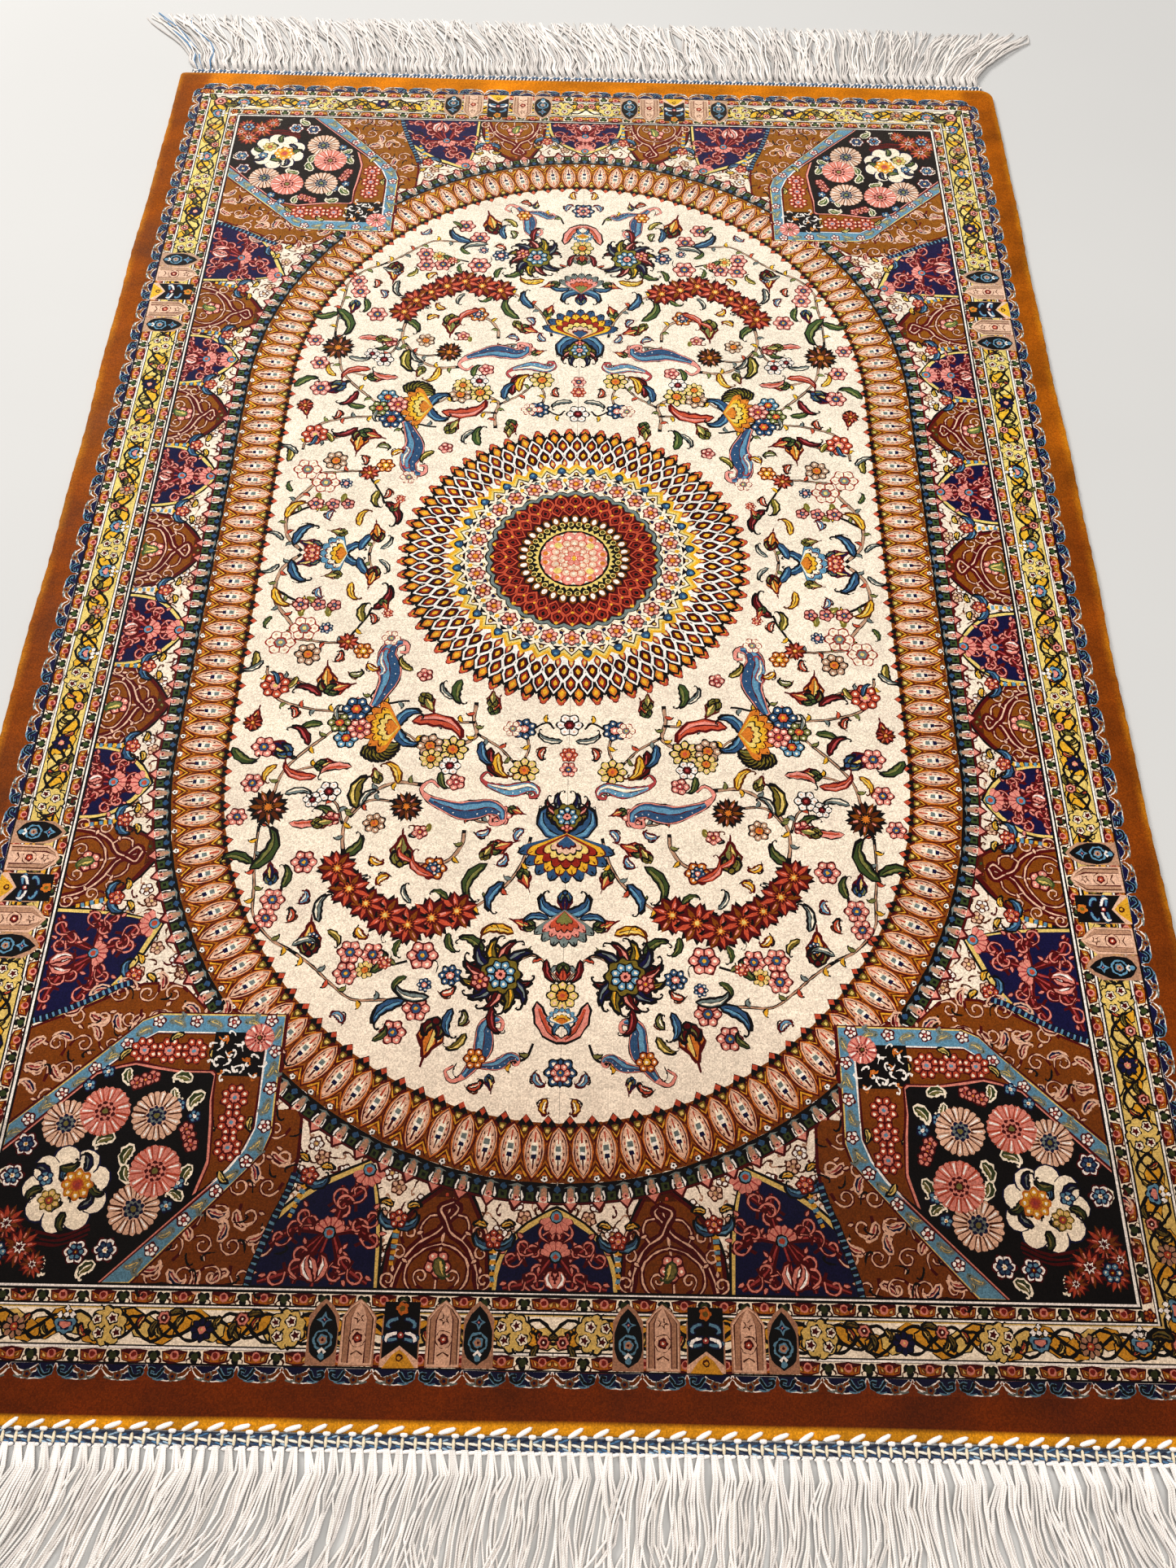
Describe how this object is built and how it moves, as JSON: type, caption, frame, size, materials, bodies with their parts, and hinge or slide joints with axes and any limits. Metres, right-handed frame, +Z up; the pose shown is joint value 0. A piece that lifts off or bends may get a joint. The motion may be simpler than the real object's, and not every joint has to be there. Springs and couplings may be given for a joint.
{
  "type": "silk pile rug with fringed ends",
  "caption": "Flat rectangular silk pile rug with a central medallion, patterned borders, a plain gold margin, and a braid with a yarn fringe at each short end.",
  "frame": {"origin": "on the floor under the middle of the rug", "axes": "+Y along the rug towards its far fringe, +X across it, +Z up out of the pile"},
  "size_m": [1.3462, 2.1279, 0.005],
  "materials": {
    "silk_pile": "short cut silk pile with a soft sheen, patterned in ivory, gold, rust, navy and sky blue",
    "fringe_yarn": "off-white twisted yarn, matt, with a blue and white woven braid at its root"
  },
  "bodies": {
    "root": {"rug_cloth": "silk_pile", "fringe_far": "fringe_yarn", "fringe_near": "fringe_yarn"}
  },
  "joints": []
}
